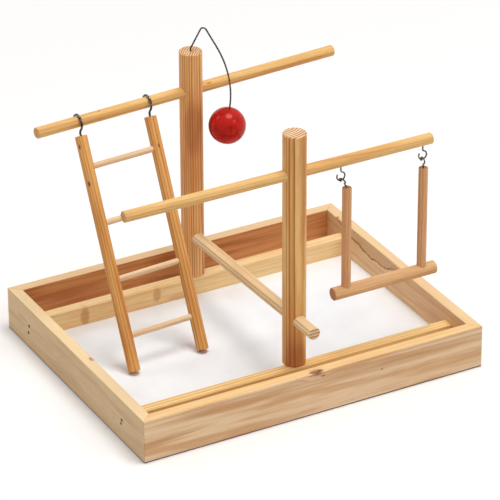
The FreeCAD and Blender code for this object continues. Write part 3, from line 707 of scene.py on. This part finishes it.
@dataclass
class Ladder:
    """The ladder: two rails, four rungs and two hooks over the rear perch."""

    left_rail: Pine = Pine(
        spring="e9ac62", summer="a8602a", blush="cc843c", blush_share=0.65, year_mm=3.0, heart_mm=(16, -14),
        runout=(0.5, 0.3), wander_mm=1.4, summer_share=0.85, summer_least=0.45, seed=1.3,
        marks=(Mark((-141.7, 92.3, 232.7), 1.2, 2.8, "5c3010", 0.9),
               Mark((-140.9, 73.8, 197.6), 1.4, 3.2, "6a3a14", 0.9)))
    right_rail: Pine = Pine(
        spring="e9ac62", summer="a05a26", blush="cc843e", blush_share=0.7, year_mm=3.4, heart_mm=(12, -3),
        runout=(0.3, 0.2), wander_mm=1.0, summer_share=0.95, summer_least=0.45, seed=6.1,
        marks=(Mark((-52.5, 85.8, 215.3), 1.0, 2.4, "7a431a", 0.9),))
    rung: Pine = Pine(
        spring="eccba2", summer="cfa06e", blush="dab086", blush_share=0.5, year_mm=2.6, heart_mm=(4, -18),
        runout=(0.5, 0.4), wander_mm=0.8, summer_share=0.5, summer_least=0.4, end_share=0.2)
    rungs: int = 4

    def build(self) -> None:
        """Dresses the rails, the rungs and the hooks."""
        dress_pine({"ladder_left_rail": self.left_rail, "ladder_right_rail": self.right_rail})
        for number in range(1, self.rungs + 1):
            dress_pine({f"ladder_rung_{number}": replace(self.rung, seed=3.3 * number)})
        hooks = STEEL.material("zinc_plated_ladder_hooks")
        for side in Side:
            dress(f"ladder_{side.value}_hook", hooks)


@dataclass
class Swing:
    """The swing: its perch, two uprights, and the linked hooks."""

    perch: Pine = Pine(
        spring="e4b27e", summer="b07644", blush="cc9460", blush_share=0.6, year_mm=3.0, heart_mm=(4, -24),
        runout=(0.4, 0.3), wander_mm=1.2, summer_share=0.6, summer_least=0.4, end="7c4a28", end_share=0.5,
        seed=8.8)
    left_upright: Pine = Pine(
        spring="dea674", summer="ac7042", blush="c48a5c", blush_share=0.6, year_mm=2.8, heart_mm=(14, 12),
        runout=(0.3, 0.3), wander_mm=1.0, summer_share=0.65, summer_least=0.4, seed=2.6)
    right_upright: Pine = Pine(
        spring="dea674", summer="ac7042", blush="c48a5c", blush_share=0.6, year_mm=3.0, heart_mm=(18, -14),
        runout=(0.3, 0.3), wander_mm=1.0, summer_share=0.65, summer_least=0.4, seed=5.5)

    def build(self) -> None:
        """Dresses the perch, the uprights, the hooks and their hangers."""
        dress_pine({"swing_perch": self.perch, "swing_left_upright": self.left_upright,
                    "swing_right_upright": self.right_upright})
        hooks = STEEL.material("zinc_plated_swing_hooks")
        for side in Side:
            dress(f"swing_{side.value}_hook", hooks)
            dress(f"swing_{side.value}_hanger", hooks)


@dataclass
class Toy:
    """The ball on its spring wire."""

    wire: DrawnSteelWire = DrawnSteelWire("6a6764", "353331", 0.26)
    lacquer: RedLacquer = RedLacquer()

    def build(self) -> None:
        """Dresses the wire and the ball."""
        dress("toy_wire", self.wire.material("spring_steel_wire"))
        dress("toy_ball", self.lacquer.material("red_lacquer_on_beech"))


# ---------------------------------------------------------------- studio and camera

@dataclass
class Lamp:
    """One soft box.

    Args:
        name: its name.
        at: its place in metres.
        size: its side in metres.
        watts: its power.
    """

    name: str
    at: tuple[float, float, float]
    size: float
    watts: float

    def build(self, aim: Vector) -> None:
        """Hangs the lamp and turns it towards a point.

        Args:
            aim: the point in metres.
        """
        data = bpy.data.lights.new(self.name, "AREA")
        data.shape, data.size, data.energy = "SQUARE", self.size, self.watts
        lamp = bpy.data.objects.new(self.name, data)
        bpy.context.scene.collection.objects.link(lamp)
        lamp.location = self.at
        lamp.rotation_euler = (Vector(self.at) - aim).to_track_quat("Z", "Y").to_euler()


@dataclass
class Studio:
    """A white floor, a white sky and soft boxes."""

    floor_side: float = 24.0
    floor_white: str = "f7f6f5"
    glow: float = 0.08               # what the floor adds for the camera alone, to be as white as the page
    far_glow: float = 0.62           # the same, where the lamps no longer reach
    sky: float = 0.38
    lamps: tuple[Lamp, ...] = (Lamp("overhead_box", (0.3, -0.3, 2.6), 1.2, 42.0),
                               Lamp("rear_left_box", (-1.5, 1.5, 2.0), 0.9, 9.0),
                               Lamp("front_right_box", (1.5, -2.2, 2.3), 1.0, 12.0))

    def build(self) -> None:
        """Lays the floor, lights the sky and hangs the lamps."""
        bpy.ops.object.select_all(action="DESELECT")
        bpy.ops.mesh.primitive_plane_add(size=self.floor_side, location=(0, 0, -0.0002))
        floor = bpy.context.object
        floor.name = "studio_floor"
        bpy.ops.object.transform_apply(location=True)
        floor.data.materials.append(self.paper())
        self.light_sky()
        for lamp in self.lamps:
            lamp.build(Vector((0, 0, 0.1)))

    def seen(self, tree: bpy.types.NodeTree) -> bpy.types.NodeSocket:
        """Is 1 for what the camera sees straight, in a reflection or through glass.

        Args:
            tree: the node tree that needs it.

        Returns:
            The socket with 1 or 0.
        """
        path = add_node(tree, "LightPath")
        seen = add_node(tree, "Math", {0: path.outputs["Is Camera Ray"], 1: path.outputs["Is Glossy Ray"]},
                        operation="MAXIMUM")
        return add_node(tree, "Math", {0: seen.outputs[0], 1: path.outputs["Is Transmission Ray"]},
                        operation="MAXIMUM").outputs[0]

    def paper(self) -> bpy.types.Material:
        """White background paper that keeps the stand's shadow.

        Returns:
            The paper's material.
        """
        material, tree = new_material("background_paper")
        matt = add_node(tree, "BsdfDiffuse", None, {"Color": linear(self.floor_white)})
        place = add_node(tree, "TexCoord").outputs["Object"]
        away = add_node(tree, "VectorMath", {0: place}, operation="LENGTH")
        added = add_node(tree, "MapRange", {"Value": away.outputs["Value"]},
                         {"From Min": 0.5, "From Max": 3.2, "To Min": self.glow, "To Max": self.far_glow},
                         interpolation_type="SMOOTHSTEP").outputs[0]
        added = add_node(tree, "Math", {0: self.seen(tree), 1: added}, operation="MULTIPLY").outputs[0]
        glow = add_node(tree, "Emission", {"Strength": added})
        both = add_node(tree, "AddShader", {0: matt.outputs[0], 1: glow.outputs[0]})
        add_node(tree, "OutputMaterial", {"Surface": both.outputs[0]})
        return material

    def light_sky(self) -> None:
        """Makes the sky white to look at, and dimmer as a light."""
        world = bpy.data.worlds.new("white_sky")
        bpy.context.scene.world = world
        world.use_nodes = True
        tree = world.node_tree
        tree.nodes.clear()
        dim = add_node(tree, "Background", None, {"Color": (1, 1, 1, 1), "Strength": self.sky})
        page = add_node(tree, "Background", None, {"Color": (1, 1, 1, 1), "Strength": 1.0})
        both = add_node(tree, "MixShader", {0: self.seen(tree), 1: dim.outputs[0], 2: page.outputs[0]})
        add_node(tree, "OutputWorld", {"Surface": both.outputs[0]})


@dataclass
class StudioCamera:
    """The camera, from the front left and above, with a long lens."""

    azimuth: float = -28.579         # degrees; negative stands to the left of the front
    elevation: float = 28.787
    roll: float = -0.281
    distance: float = 3.82347        # metres from the aim
    aim: tuple[float, float, float] = (0.0, 0.0, 0.1)
    focal_pixels: float = 3630.93
    centre_pixels: tuple[float, float] = (242.37, 264.34)
    sensor_mm: float = 36.0

    def build(self) -> None:
        """Places the camera."""
        az, el, roll = (math.radians(a) for a in (self.azimuth, self.elevation, self.roll))
        back = Vector((math.sin(az) * math.cos(el), -math.cos(az) * math.cos(el), math.sin(el)))
        right = (-back).cross(Vector((0, 0, 1))).normalized()
        up = right.cross(-back)
        turned_right = right * math.cos(roll) + up * math.sin(roll)
        turned_up = up * math.cos(roll) - right * math.sin(roll)
        data = bpy.data.cameras.new("photo_camera")
        data.sensor_width = self.sensor_mm
        data.lens = self.sensor_mm * self.focal_pixels / PHOTO_PIXELS
        data.shift_x = 0.5 - self.centre_pixels[0] / PHOTO_PIXELS
        data.shift_y = self.centre_pixels[1] / PHOTO_PIXELS - 0.5
        data.clip_start, data.clip_end = 0.1, 100.0
        camera = bpy.data.objects.new("photo_camera", data)
        bpy.context.scene.collection.objects.link(camera)
        place = Matrix((turned_right, turned_up, back)).transposed().to_4x4()
        place.translation = Vector(self.aim) + back * self.distance
        camera.matrix_world = place
        bpy.context.scene.camera = camera


def main() -> None:
    """Builds and dresses the stand, piece by piece, and sets up the studio."""
    logging.basicConfig(level=logging.INFO, format="%(message)s")
    bpy.context.scene.view_settings.view_transform = "Standard"
    StudioCamera().build()
    Studio().build()
    for piece in (Tray(), Stand(), Ladder(), Swing(), Toy()):
        piece.build()
        log.info("dressed the %s", type(piece).__name__.lower())


if __name__ == "__main__":
    main()
